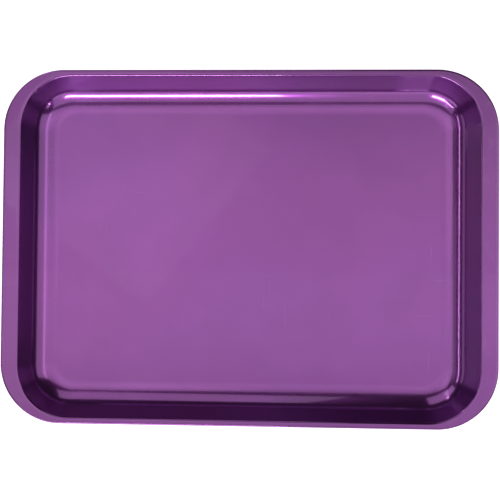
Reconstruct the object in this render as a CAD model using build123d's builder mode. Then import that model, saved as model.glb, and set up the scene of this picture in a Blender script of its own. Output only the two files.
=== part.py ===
from build123d import *
import math
import os

# Flat set-up tray for dental instruments, injection moulded in one piece.
# Millimetres. +X runs along the tray, +Y across it and +Z up, with the origin under the
# middle of the tray, on the plane that its foot ring stands on.

# Overall size
length = 339.7
width = 244.5
height = 22.2
corner_radius = 41.5

# Plastic thickness
wall = 2.4
lip_thickness = 1.6

# Rim: wide along the two short ends, where it is held, and narrow along the long sides
end_rim = 11.7
side_rim = 4.1
well_corner_radius = 35.8
lip_depth = 5.5

# Walls, floor and the ring under the floor that the tray stands on
wall_draft = 32.0
floor_cove = 19.0
foot_height = 0.6
foot_ring_width = 6.0

# Edge rounding
rim_outer_round = 1.5
rim_inner_round = 2.0
rim_root_round = 1.2
lip_end_round = 0.5
foot_edge_round = 0.3

# Gate mark under the middle of the floor: a shallow dimple with the trimmed nub in it
gate_dimple_radius = 6.0
gate_dimple_depth = 0.3
gate_nub_radius = 1.4
gate_nub_height = 0.4

# Worked out from the dimensions above
floor_level = foot_height + wall
rim_underside = height - wall
well_length = length - 2 * end_rim
well_width = width - 2 * side_rim
draft_run = math.tan(math.radians(wall_draft))
wall_in_plan = wall / math.cos(math.radians(wall_draft))
pan_inset = height * draft_run - wall_in_plan
pan_length = well_length - 2 * pan_inset
pan_width = well_width - 2 * pan_inset
pan_corner_radius = well_corner_radius - pan_inset
outer_cove = floor_cove + wall
cove_in_plan = outer_cove * math.tan(math.radians(90 - wall_draft) / 2)
panel_inset = cove_in_plan + foot_ring_width
level_tolerance = 0.001


def at_level(shapes, level):
    """The flat faces, or the edges, that lie at one height."""
    return shapes.filter_by_position(Axis.Z, level - level_tolerance, level + level_tolerance)


with BuildPart() as tray:
    # Rim plate, with the lip that turns down from its edge
    with BuildSketch(Plane.XY.offset(height)):
        RectangleRounded(length, width, corner_radius)
    extrude(amount=-lip_depth)
    with BuildSketch(Plane.XY.offset(height - lip_depth)):
        RectangleRounded(
            length - 2 * lip_thickness,
            width - 2 * lip_thickness,
            corner_radius - lip_thickness,
        )
    extrude(amount=lip_depth - wall, mode=Mode.SUBTRACT)

    # Outside of the pan, whose walls spread up to the underside of the rim
    with BuildSketch(Plane.XY):
        RectangleRounded(pan_length, pan_width, pan_corner_radius)
    extrude(amount=rim_underside, taper=-wall_draft)
    fillet(at_level(tray.edges(), 0), outer_cove)

    # Well, narrowing from the rim down to the floor and coved into it
    with BuildSketch(Plane.XY.offset(height)):
        RectangleRounded(well_length, well_width, well_corner_radius)
    extrude(amount=-(height - floor_level), taper=wall_draft, mode=Mode.SUBTRACT)
    fillet(at_level(tray.edges(), floor_level), floor_cove)

    # Underside of the floor, raised inside the foot ring
    with BuildSketch(Plane.XY):
        RectangleRounded(
            pan_length - 2 * panel_inset,
            pan_width - 2 * panel_inset,
            pan_corner_radius - panel_inset,
        )
    extrude(amount=foot_height, mode=Mode.SUBTRACT)
    ring_face = tray.faces().filter_by(Axis.Z).sort_by(Axis.Z)[0]
    fillet(ring_face.inner_wires()[0].edges(), foot_edge_round)

    # Gate mark
    with BuildSketch(Plane.XY.offset(foot_height)):
        Circle(gate_dimple_radius)
    extrude(amount=gate_dimple_depth, mode=Mode.SUBTRACT)
    with BuildSketch(Plane.XY.offset(foot_height + gate_dimple_depth)):
        Circle(gate_nub_radius)
    extrude(amount=-gate_nub_height)

    # Rounded edges of the rim and the lip
    rim_root = at_level(tray.faces(), rim_underside).sort_by(Axis.Z)[0]
    fillet(rim_root.inner_wires()[0].edges(), rim_root_round)
    lip_end = at_level(tray.faces(), height - lip_depth)[0]
    fillet(lip_end.edges(), lip_end_round)
    rim_top = at_level(tray.faces(), height)[0]
    fillet(rim_top.inner_wires()[0].edges(), rim_inner_round)
    rim_top = at_level(tray.faces(), height)[0]
    fillet(rim_top.outer_wire().edges(), rim_outer_round)

tray.part.label = "tray"

os.makedirs("parts", exist_ok=True)
export_step(tray.part, "parts/tray.step")
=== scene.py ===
import math

import bpy
from mathutils import Matrix, Vector


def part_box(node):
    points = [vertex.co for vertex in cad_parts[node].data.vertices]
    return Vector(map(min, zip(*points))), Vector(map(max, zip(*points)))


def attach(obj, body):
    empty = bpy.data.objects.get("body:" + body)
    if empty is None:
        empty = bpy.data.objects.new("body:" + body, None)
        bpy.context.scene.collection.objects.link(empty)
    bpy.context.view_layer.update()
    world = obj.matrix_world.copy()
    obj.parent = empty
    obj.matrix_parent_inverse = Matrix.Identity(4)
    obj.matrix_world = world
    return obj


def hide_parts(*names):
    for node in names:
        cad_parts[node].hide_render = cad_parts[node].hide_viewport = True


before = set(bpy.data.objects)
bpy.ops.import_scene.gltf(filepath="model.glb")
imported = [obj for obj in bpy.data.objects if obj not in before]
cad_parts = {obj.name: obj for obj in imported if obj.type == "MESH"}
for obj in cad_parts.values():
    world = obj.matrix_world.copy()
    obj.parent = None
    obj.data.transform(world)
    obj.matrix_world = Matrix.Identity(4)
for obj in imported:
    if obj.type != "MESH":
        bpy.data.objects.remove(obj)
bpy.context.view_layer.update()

MM = 0.001

# The tray's section, in millimetres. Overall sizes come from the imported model.
low, high = (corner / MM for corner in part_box("tray"))
LENGTH = high.x - low.x
WIDTH = high.y - low.y
HEIGHT = high.z - low.z
CORNER_RADIUS = 41.5
WALL = 2.4
LIP_THICKNESS = 1.6
END_RIM = 11.7
SIDE_RIM = 4.1
WELL_CORNER_RADIUS = 35.8
LIP_DEPTH = 5.5
WALL_DRAFT = math.radians(32)
FLOOR_COVE = 19.0
FOOT_HEIGHT = 0.6
FOOT_RING_WIDTH = 6.0
RIM_OUTER_ROUND = 1.5
RIM_INNER_ROUND = 2.0
RIM_ROOT_ROUND = 1.2
LIP_END_ROUND = 0.5
LIP_ROOT_ROUND = 0.25
FOOT_EDGE_ROUND = 0.3
GATE_DIMPLE_RADIUS = 6.0
GATE_DIMPLE_DEPTH = 0.3
GATE_NUB_RADIUS = 1.4
GATE_NUB_HEIGHT = 0.4
GATE_EDGE = 0.03
GATE_NUB_EDGE = 0.05

# How finely the skin is divided
LONG_SIDE_STEPS = 28
SHORT_SIDE_STEPS = 18
CORNER_STEPS = 24
COVE_STEPS = 16
RIM_EDGE_STEPS = 10
SUPPORT = 0.35

# The plastic's colours, each pair drifting from one to the other
DEEP_PURPLES = ((0.276, 0.058, 0.314, 1), (0.255, 0.058, 0.321, 1))
PALE_PURPLES = ((0.308, 0.066, 0.347, 1), (0.286, 0.067, 0.358, 1))
# painted sheen: a paler, greyer purple that the floor is blended towards, in place of the overhead light
# falling on it
FLOOR_PAINTED_SHEEN_PURPLE = (0.345, 0.14, 0.385, 1)
# painted shade: a darker purple that the rim's top is blended towards
RIM_PAINTED_SHADE_PURPLE = (0.2, 0.04, 0.23, 1)
RUBBED_PURPLE = (0.56, 0.36, 0.6, 1)

# The plastic's finish, and how far the painted sheen on the floor and the painted shade on the rim reach,
# with heights and depths in millimetres
FLOOR_FINISH_AND_SHEEN_MARGIN = 0.05
FLOOR_FINISH_AND_SHEEN_FADE = 3.0
RIM_WEAR_AND_SHADE_MARGIN = 0.1
RIM_WEAR_AND_SHADE_FADE = 1.4
PLAIN_ROUGHNESS = 0.21
SMUDGE_ROUGHNESS = 0.03
WORN_ROUGHNESS = 0.08
FLOOR_ROUGHNESS = 0.07
FLOOR_COAT_LOSS = 0.5
GRAIN_DEPTH = 0.004
GRAIN_STRENGTH = 0.15

# The set, with the paper's size in metres
PAPER_GLOW = 0.7
PAPER_HALF_SIZE = 3.0
WORLD_GLOW = 0.03

WALL_LEAN = math.pi / 2 - WALL_DRAFT
FLOOR_LEVEL = FOOT_HEIGHT + WALL
RIM_UNDERSIDE = HEIGHT - WALL


class Loop:
    """A level rounded rectangle: the centre of its +X +Y corner arc, that arc's radius, and its height."""

    def __init__(self, centre_x, centre_y, radius, z):
        self.centre_x = centre_x
        self.centre_y = centre_y
        self.radius = radius
        self.z = z

    def points(self):
        """Its points, anticlockwise from the lower end of the +X side, the same number for every loop."""
        found = []
        sides = [
            (1, -1, 0, SHORT_SIDE_STEPS, (0, 2)),
            (1, 1, 90, LONG_SIDE_STEPS, (-2, 0)),
            (-1, 1, 180, SHORT_SIDE_STEPS, (0, -2)),
            (-1, -1, 270, LONG_SIDE_STEPS, (2, 0)),
        ]
        for side_x, side_y, bearing, steps, run in sides:
            out = Vector((math.cos(math.radians(bearing)), math.sin(math.radians(bearing))))
            start = Vector((side_x * self.centre_x, side_y * self.centre_y))
            travel = Vector((run[0] * self.centre_x, run[1] * self.centre_y))
            for step in range(steps):
                at = start + travel * (step / steps) + out * self.radius
                found.append((at.x, at.y, self.z))
            corner = start + travel
            for step in range(CORNER_STEPS):
                angle = math.radians(bearing + 90 * step / CORNER_STEPS)
                found.append(
                    (
                        corner.x + self.radius * math.cos(angle),
                        corner.y + self.radius * math.sin(angle),
                        self.z,
                    )
                )
        return found


def inner_loop(radius, z):
    """A loop that follows the well."""
    centre_x = LENGTH / 2 - END_RIM - WELL_CORNER_RADIUS
    centre_y = WIDTH / 2 - SIDE_RIM - WELL_CORNER_RADIUS
    return Loop(centre_x, centre_y, radius, z)


def outer_loop(radius, z):
    """A loop that follows the tray's outline."""
    return Loop(LENGTH / 2 - CORNER_RADIUS, WIDTH / 2 - CORNER_RADIUS, radius, z)


def between(first, last, share):
    """The loop part of the way from one loop to another."""
    def mix(a, b):
        return a + (b - a) * share

    return Loop(
        mix(first.centre_x, last.centre_x),
        mix(first.centre_y, last.centre_y),
        mix(first.radius, last.radius),
        mix(first.z, last.z),
    )


def flat_run(first, last):
    """Loops just inside both ends of a straight part of the section, which keep its shading flat."""
    span = math.hypot(last.radius - first.radius, last.z - first.z)
    share = min(SUPPORT / span, 0.3)
    return [between(first, last, share), between(first, last, 0.5), between(first, last, 1 - share)]


def arc_run(kind, radius_mid, z_mid, size, start, end, steps):
    """Loops round a rounded part of the section. Angles are from straight down, outwards."""
    found = []
    for step in range(steps + 1):
        angle = start + (end - start) * step / steps
        found.append(kind(radius_mid + size * math.sin(angle), z_mid - size * math.cos(angle)))
    return found


def section():
    """The tray's section as loops, from the floor's edge over the rim and back under to the foot."""
    right_angle = math.pi / 2
    straight = math.pi
    draft_run = math.tan(WALL_DRAFT)
    well_depth = HEIGHT - FLOOR_LEVEL
    corner_at_floor = WELL_CORNER_RADIUS - well_depth * draft_run
    floor_radius = corner_at_floor - FLOOR_COVE * math.tan(WALL_LEAN / 2)
    rim_inner = WELL_CORNER_RADIUS + RIM_INNER_ROUND * math.tan(WALL_LEAN / 2)
    rim_outer = CORNER_RADIUS - RIM_OUTER_ROUND
    lip_inner = CORNER_RADIUS - LIP_THICKNESS
    pan_at_foot = WELL_CORNER_RADIUS - HEIGHT * draft_run + WALL / math.cos(WALL_DRAFT)
    outer_cove = FLOOR_COVE + WALL
    foot_radius = pan_at_foot - outer_cove * math.tan(WALL_LEAN / 2)
    pan_at_rim = pan_at_foot + RIM_UNDERSIDE * draft_run
    root_radius = pan_at_rim + RIM_ROOT_ROUND * math.tan(WALL_LEAN / 2)
    panel_radius = foot_radius - FOOT_RING_WIDTH

    rounds = [
        # the cove from the floor up to the wall
        arc_run(inner_loop, floor_radius, FLOOR_LEVEL + FLOOR_COVE, FLOOR_COVE, 0, WALL_LEAN,
                COVE_STEPS),
        # the rim's inner edge
        arc_run(inner_loop, rim_inner, HEIGHT - RIM_INNER_ROUND, RIM_INNER_ROUND,
                straight + WALL_LEAN, straight, RIM_EDGE_STEPS),
        # the rim's outer edge
        arc_run(outer_loop, rim_outer, HEIGHT - RIM_OUTER_ROUND, RIM_OUTER_ROUND,
                straight, right_angle, RIM_EDGE_STEPS),
        # the two edges of the lip's end
        arc_run(outer_loop, CORNER_RADIUS - LIP_END_ROUND, HEIGHT - LIP_DEPTH + LIP_END_ROUND,
                LIP_END_ROUND, right_angle, 0, 5),
        arc_run(outer_loop, lip_inner + LIP_END_ROUND, HEIGHT - LIP_DEPTH + LIP_END_ROUND,
                LIP_END_ROUND, 0, -right_angle, 5),
        # the lip's root, on the underside of the rim
        arc_run(outer_loop, lip_inner - LIP_ROOT_ROUND, RIM_UNDERSIDE - LIP_ROOT_ROUND,
                LIP_ROOT_ROUND, right_angle, straight, 3),
        # the wall's root, on the underside of the rim
        arc_run(inner_loop, root_radius, RIM_UNDERSIDE - RIM_ROOT_ROUND, RIM_ROOT_ROUND,
                straight, straight + WALL_LEAN, 6),
        # the outside of the cove, down to the foot ring
        arc_run(inner_loop, foot_radius, outer_cove, outer_cove, WALL_LEAN, 0, COVE_STEPS),
        # the foot ring's inner edge
        arc_run(inner_loop, panel_radius + FOOT_EDGE_ROUND, FOOT_EDGE_ROUND, FOOT_EDGE_ROUND,
                0, -right_angle, 4),
    ]
    loops = list(rounds[0])
    for bend in rounds[1:]:
        loops += flat_run(loops[-1], bend[0])
        loops += bend
    loops.append(inner_loop(panel_radius, FOOT_HEIGHT))
    return loops


def floor_grid(boundary, vertices, faces, first_index):
    """Fills the floor's outline with a grid whose corners are at the middles of the corner arcs."""
    half_corner = CORNER_STEPS // 2
    columns = LONG_SIDE_STEPS + CORNER_STEPS
    rows = SHORT_SIDE_STEPS + CORNER_STEPS
    count = len(boundary)
    # the loop's index of the -X -Y corner's middle, from where the grid's lower side runs along +X
    start = count - half_corner - LONG_SIDE_STEPS - CORNER_STEPS
    ring = [(start + step) % count for step in range(count)]
    lower = ring[: columns + 1]
    right = ring[columns : columns + rows + 1]
    upper = ring[columns + rows : 2 * columns + rows + 1][::-1]
    left = (ring[2 * columns + rows :] + ring[:1])[::-1]

    def place(index):
        return Vector(boundary[index])

    index_of = {}
    for row in range(rows + 1):
        for column in range(columns + 1):
            u, v = column / columns, row / rows
            if row == 0:
                index_of[row, column] = first_index + lower[column]
            elif row == rows:
                index_of[row, column] = first_index + upper[column]
            elif column == 0:
                index_of[row, column] = first_index + left[row]
            elif column == columns:
                index_of[row, column] = first_index + right[row]
            else:
                sides = (1 - v) * place(lower[column]) + v * place(upper[column])
                ends = (1 - u) * place(left[row]) + u * place(right[row])
                corners = (
                    (1 - u) * (1 - v) * place(lower[0])
                    + u * (1 - v) * place(lower[-1])
                    + (1 - u) * v * place(upper[0])
                    + u * v * place(upper[-1])
                )
                index_of[row, column] = len(vertices)
                vertices.append(tuple(sides + ends - corners))
    for row in range(rows):
        for column in range(columns):
            faces.append(
                (
                    index_of[row, column],
                    index_of[row, column + 1],
                    index_of[row + 1, column + 1],
                    index_of[row + 1, column],
                )
            )


def gate_rings(outline):
    """Rings that close the underside from the panel's outline to the gate mark at its middle."""
    spread_steps = 7
    bearings = [math.atan2(y, x) for x, y, _ in outline]
    rings = []

    def circle(radius, z):
        return [(radius * math.cos(b), radius * math.sin(b), z) for b in bearings]

    rim = circle(GATE_DIMPLE_RADIUS, FOOT_HEIGHT)
    for step in range(1, spread_steps):
        share = step / spread_steps
        rings.append(
            [
                (px + (cx - px) * share, py + (cy - py) * share, FOOT_HEIGHT)
                for (px, py, _), (cx, cy, _) in zip(outline, rim)
            ]
        )
    dimple = FOOT_HEIGHT + GATE_DIMPLE_DEPTH
    nub = dimple - GATE_NUB_HEIGHT
    for radius, z in (
        (GATE_DIMPLE_RADIUS + 0.1, FOOT_HEIGHT),
        (GATE_DIMPLE_RADIUS, FOOT_HEIGHT + GATE_EDGE),
        (GATE_DIMPLE_RADIUS - 0.25, dimple - GATE_EDGE),
        (GATE_DIMPLE_RADIUS - 0.4, dimple),
        (GATE_NUB_RADIUS + 0.3, dimple),
        (GATE_NUB_RADIUS, dimple - 0.1),
        (GATE_NUB_RADIUS - GATE_NUB_EDGE, nub + GATE_NUB_EDGE),
        (GATE_NUB_RADIUS - 0.2, nub),
        (GATE_NUB_RADIUS / 2, nub),
    ):
        rings.append(circle(radius, z))
    return rings, nub


def tray_skin():
    """The whole closed skin of the tray, as one smooth mesh: quads, and a fan of triangles on the gate."""
    loops = section()
    vertices = []
    faces = []
    rings = [loop.points() for loop in loops]
    count = len(rings[0])
    closing, nub = gate_rings(rings[-1])
    rings += closing
    for ring in rings:
        vertices += ring
    for ring_index in range(len(rings) - 1):
        here, there = ring_index * count, (ring_index + 1) * count
        for step in range(count):
            after = (step + 1) % count
            faces.append((here + step, there + step, there + after, here + after))
    middle = len(vertices)
    vertices.append((0, 0, nub))
    last = (len(rings) - 1) * count
    for step in range(count):
        faces.append((last + step, middle, last + (step + 1) % count))
    floor_grid(rings[0], vertices, faces, 0)

    mesh = bpy.data.meshes.new("tray_shell")
    mesh.from_pydata([tuple(Vector(v) * MM) for v in vertices], [], faces)
    mesh.validate()
    mesh.polygons.foreach_set("use_smooth", [True] * len(mesh.polygons))
    mesh.update()
    shell = bpy.data.objects.new("tray_shell", mesh)
    bpy.context.scene.collection.objects.link(shell)
    return shell


class Nodes:
    """A material's node tree, built a node at a time."""

    def __init__(self, name):
        self.material = bpy.data.materials.new(name)
        self.material.use_nodes = True
        self.tree = self.material.node_tree
        self.shader = self.tree.nodes["Principled BSDF"]
        self.place = self.add("ShaderNodeTexCoord").outputs["Object"]

    def add(self, kind, **settings):
        node = self.tree.nodes.new(kind)
        for name, value in settings.items():
            setattr(node, name, value)
        return node

    def feed(self, source, socket):
        """Links an output to an input, or sets the input to a plain value."""
        if isinstance(source, bpy.types.NodeSocket):
            self.tree.links.new(source, socket)
        else:
            socket.default_value = source

    def maths(self, operation, *values):
        node = self.add("ShaderNodeMath", operation=operation)
        for value, socket in zip(values, node.inputs):
            self.feed(value, socket)
        return node.outputs["Value"]

    def remap(self, value, start, end, to_start=0.0, to_end=1.0):
        node = self.add("ShaderNodeMapRange", interpolation_type="SMOOTHSTEP")
        self.feed(value, node.inputs["Value"])
        for name, number in (
            ("From Min", start), ("From Max", end), ("To Min", to_start), ("To Max", to_end)
        ):
            node.inputs[name].default_value = number
        return node.outputs["Result"]

    def noise(self, scale, detail=2.0, stretch=(1, 1, 1), turn=0.0, rough=0.5):
        mapping = self.add("ShaderNodeMapping")
        self.feed(self.place, mapping.inputs["Vector"])
        mapping.inputs["Scale"].default_value = stretch
        mapping.inputs["Rotation"].default_value = (0, 0, math.radians(turn))
        node = self.add("ShaderNodeTexNoise")
        self.feed(mapping.outputs["Vector"], node.inputs["Vector"])
        node.inputs["Scale"].default_value = scale
        node.inputs["Detail"].default_value = detail
        node.inputs["Roughness"].default_value = rough
        return node.outputs["Fac"]

    def blend(self, share, first, second):
        node = self.add("ShaderNodeMix", data_type="RGBA")
        self.feed(share, node.inputs[0])
        self.feed(first, node.inputs[6])
        self.feed(second, node.inputs[7])
        return node.outputs[2]

    def bump(self, height, distance, strength):
        node = self.add("ShaderNodeBump")
        self.feed(height, node.inputs["Height"])
        node.inputs["Distance"].default_value = distance
        node.inputs["Strength"].default_value = strength
        return node.outputs["Normal"]


def purple_plastic():
    """Plastic with a pearl pigment, almost as metal, under a gloss coat, and a little rubbed in places.
    Its colour also carries painted light: a painted sheen that lightens the floor and a painted shade that
    darkens the rim's top.
    """
    nodes = Nodes("purple_plastic")
    shader = nodes.shader
    split = nodes.add("ShaderNodeSeparateXYZ")
    nodes.feed(nodes.place, split.inputs["Vector"])
    level = split.outputs["Z"]
    floor_start = (FLOOR_LEVEL + FLOOR_FINISH_AND_SHEEN_MARGIN) * MM
    floor_end = (FLOOR_LEVEL + FLOOR_FINISH_AND_SHEEN_FADE) * MM
    rim_start = (HEIGHT - RIM_WEAR_AND_SHADE_FADE) * MM
    rim_end = (HEIGHT - RIM_WEAR_AND_SHADE_MARGIN) * MM
    on_floor = nodes.remap(level, floor_start, floor_end, to_start=1, to_end=0)
    on_rim = nodes.remap(level, rim_start, rim_end)

    cloud = nodes.remap(nodes.noise(scale=16, detail=4, rough=0.6), 0.3, 0.7)
    drift = nodes.remap(nodes.noise(scale=7, detail=2), 0.35, 0.65)
    deep = nodes.blend(drift, *DEEP_PURPLES)
    pale = nodes.blend(drift, *PALE_PURPLES)
    colour = nodes.blend(cloud, deep, pale)
    # painted sheen: the floor's colour is lightened towards a paler purple, as if lit from overhead
    colour = nodes.blend(nodes.maths("MULTIPLY", on_floor, 0.4), colour, FLOOR_PAINTED_SHEEN_PURPLE)
    # painted shade: the rim's top is darkened towards a deeper purple
    colour = nodes.blend(nodes.maths("MULTIPLY", on_rim, 0.5), colour, RIM_PAINTED_SHADE_PURPLE)

    # fine scuffs in two directions, in patches on the floor
    patches = nodes.remap(nodes.noise(scale=11, detail=3), 0.5, 0.68)
    along = nodes.remap(nodes.noise(scale=34, detail=2, stretch=(1, 22, 1), turn=31), 0.66, 0.74)
    across = nodes.remap(nodes.noise(scale=30, detail=2, stretch=(26, 1, 1), turn=-17), 0.67, 0.75)
    scuffs = nodes.maths("MULTIPLY", nodes.maths("MAXIMUM", along, across), patches)
    scuffs = nodes.maths("MULTIPLY", scuffs, on_floor)
    # rubbing in small spots on the rim
    spots = nodes.remap(nodes.noise(scale=90, detail=4, rough=0.65), 0.52, 0.75)
    rubbed = nodes.maths("MULTIPLY", on_rim, spots)
    worn = nodes.maths("MAXIMUM", scuffs, nodes.maths("MULTIPLY", rubbed, 0.6))
    colour = nodes.blend(nodes.maths("MULTIPLY", worn, 0.12), colour, RUBBED_PURPLE)
    nodes.feed(colour, shader.inputs["Base Color"])

    smudge = nodes.remap(nodes.noise(scale=24, detail=3, rough=0.55), 0.42, 0.66)
    roughness = nodes.maths("MULTIPLY_ADD", smudge, SMUDGE_ROUGHNESS, PLAIN_ROUGHNESS)
    roughness = nodes.maths("MULTIPLY_ADD", worn, WORN_ROUGHNESS, roughness)
    roughness = nodes.maths("MULTIPLY_ADD", on_floor, FLOOR_ROUGHNESS, roughness)
    nodes.feed(roughness, shader.inputs["Roughness"])
    coat = nodes.maths("MULTIPLY_ADD", on_floor, -FLOOR_COAT_LOSS, 1.0)
    nodes.feed(coat, shader.inputs["Coat Weight"])

    grain = nodes.noise(scale=2600, detail=2, rough=0.6)
    nodes.feed(nodes.bump(grain, GRAIN_DEPTH * MM, GRAIN_STRENGTH), shader.inputs["Normal"])

    shader.inputs["Metallic"].default_value = 0.9
    shader.inputs["IOR"].default_value = 1.5
    shader.inputs["Coat Roughness"].default_value = 0.05
    shader.inputs["Coat IOR"].default_value = 1.7
    return nodes.material


tray = tray_skin()
tray.data.materials.append(purple_plastic())
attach(tray, "root")
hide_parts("tray")


def white_paper():
    """Matt white paper with a glow of its own, as on a product table that is lit from below."""
    nodes = Nodes("white_paper")
    tone = nodes.remap(nodes.noise(scale=3, detail=3), 0.3, 0.7)
    colour = nodes.blend(tone, (0.90, 0.90, 0.90, 1), (0.93, 0.93, 0.93, 1))
    nodes.feed(colour, nodes.shader.inputs["Base Color"])
    tooth = nodes.noise(scale=900, detail=3)
    nodes.feed(nodes.bump(tooth, 0.02 * MM, 0.3), nodes.shader.inputs["Normal"])
    nodes.shader.inputs["Roughness"].default_value = 0.9
    nodes.shader.inputs["Emission Color"].default_value = (1, 1, 1, 1)
    nodes.shader.inputs["Emission Strength"].default_value = PAPER_GLOW
    return nodes.material


def studio_floor():
    """One large sheet of the paper under the tray."""
    mesh = bpy.data.meshes.new("studio_floor")
    half = PAPER_HALF_SIZE
    corners = [(-half, -half, 0), (half, -half, 0), (half, half, 0), (-half, half, 0)]
    mesh.from_pydata(corners, [], [(0, 1, 2, 3)])
    floor = bpy.data.objects.new("studio_floor", mesh)
    bpy.context.scene.collection.objects.link(floor)
    mesh.materials.append(white_paper())


def aimed(place, target, up):
    """The turn that looks from one point at another, with up as near as it can be to the picture's up."""
    back = (place - target).normalized()
    right = up.cross(back).normalized()
    return Matrix((right, back.cross(right), back)).transposed().to_4x4()


def camera():
    """Taken as 450 mm over the rim, a little right of and below the middle, and aimed a little left.

    Its numbers are a least-squares fit to the tray's edges in the photograph, rounded.
    """
    data = bpy.data.cameras.new("camera")
    view = bpy.data.objects.new("camera", data)
    bpy.context.scene.collection.objects.link(view)
    place = Vector((3.5, -17.4, 472.2)) * MM
    target = Vector((-11.8, -9.5, 22.2)) * MM
    up = Vector((-0.0086, 0.9998, 0.018))
    view.matrix_world = Matrix.Translation(place) @ aimed(place, target, up)
    data.lens = 47.5
    data.sensor_width = 36
    data.shift_x = 0.04
    data.shift_y = 0.022
    data.clip_start = 0.02
    bpy.context.scene.camera = view


def softbox(name, bearing, elevation, size, glow, distance=1.5):
    """A flat light facing the tray.

    Angles are in degrees and sizes in metres, and glow is how bright its face looks.
    """
    turn, lift = math.radians(bearing), math.radians(elevation)
    data = bpy.data.lights.new(name, "AREA")
    data.shape = "RECTANGLE"
    data.size, data.size_y = size
    data.energy = glow * math.pi * size[0] * size[1]
    light = bpy.data.objects.new(name, data)
    bpy.context.scene.collection.objects.link(light)
    away = Vector((math.cos(lift) * math.cos(turn), math.cos(lift) * math.sin(turn), math.sin(lift)))
    place = away * distance
    # tipped slightly, so that a light straight overhead would still have a turn
    level = Vector((0, 0.01, 1))
    light.matrix_world = Matrix.Translation(place) @ aimed(place, Vector((0, 0, 0)), level)


studio_floor()
camera()
# Lamps stand where the tray's highlights point to. Their glows began as a least-squares fit to the
# photograph and were then set one by one, so they say nothing about the real room.
softbox("overhead", 0, 85, (2.7, 4.5), 0.81, distance=3)
softbox("overhead_west", 180, 84, (0.7, 2.4), 0.12)
softbox("overhead_far_west", 180, 80, (0.5, 2.4), 0.09)
softbox("overhead_south", 270, 71, (2.2, 1.0), 0.14)
softbox("overhead_north_west", 140, 72, (0.6, 0.6), 0.3)
softbox("south_bank", 270, 31, (1.8, 1.3), 0.85)
softbox("south_window", 259, 28, (0.7, 0.2), 12.0)
softbox("south_low", 285, 14, (0.9, 0.2), 0.4)
softbox("south_west_window", 231, 29, (0.55, 0.1), 9.0)
softbox("south_west_bank", 225, 42, (0.6, 0.5), 0.6)
softbox("south_west_low", 228, 12, (0.6, 0.25), 1.5)
softbox("west_window", 180, 33, (0.9, 0.07), 6.0)
softbox("west_high", 180, 52, (0.9, 0.4), 0.25)
softbox("west_low", 180, 12, (0.95, 0.3), 0.65)
softbox("north_west_bank", 135, 35, (0.6, 0.6), 1.0)
softbox("north_west_lamp", 122, 20, (0.1, 0.2), 6.0)
softbox("north_bank", 104, 38, (1.1, 0.9), 0.8)
softbox("east_bank", 0, 40, (1.1, 1.1), 0.82)
softbox("south_east_lamp", 312, 18, (0.1, 0.2), 8.0)
softbox("south_east_bank", 318, 22, (0.25, 0.3), 1.2)

world = bpy.data.worlds.new("studio")
bpy.context.scene.world = world
world.use_nodes = True
world.node_tree.nodes["Background"].inputs["Color"].default_value = (1, 1, 1, 1)
world.node_tree.nodes["Background"].inputs["Strength"].default_value = WORLD_GLOW
bpy.context.scene.view_settings.view_transform = "Standard"
bpy.context.scene.view_settings.gamma = 0.85
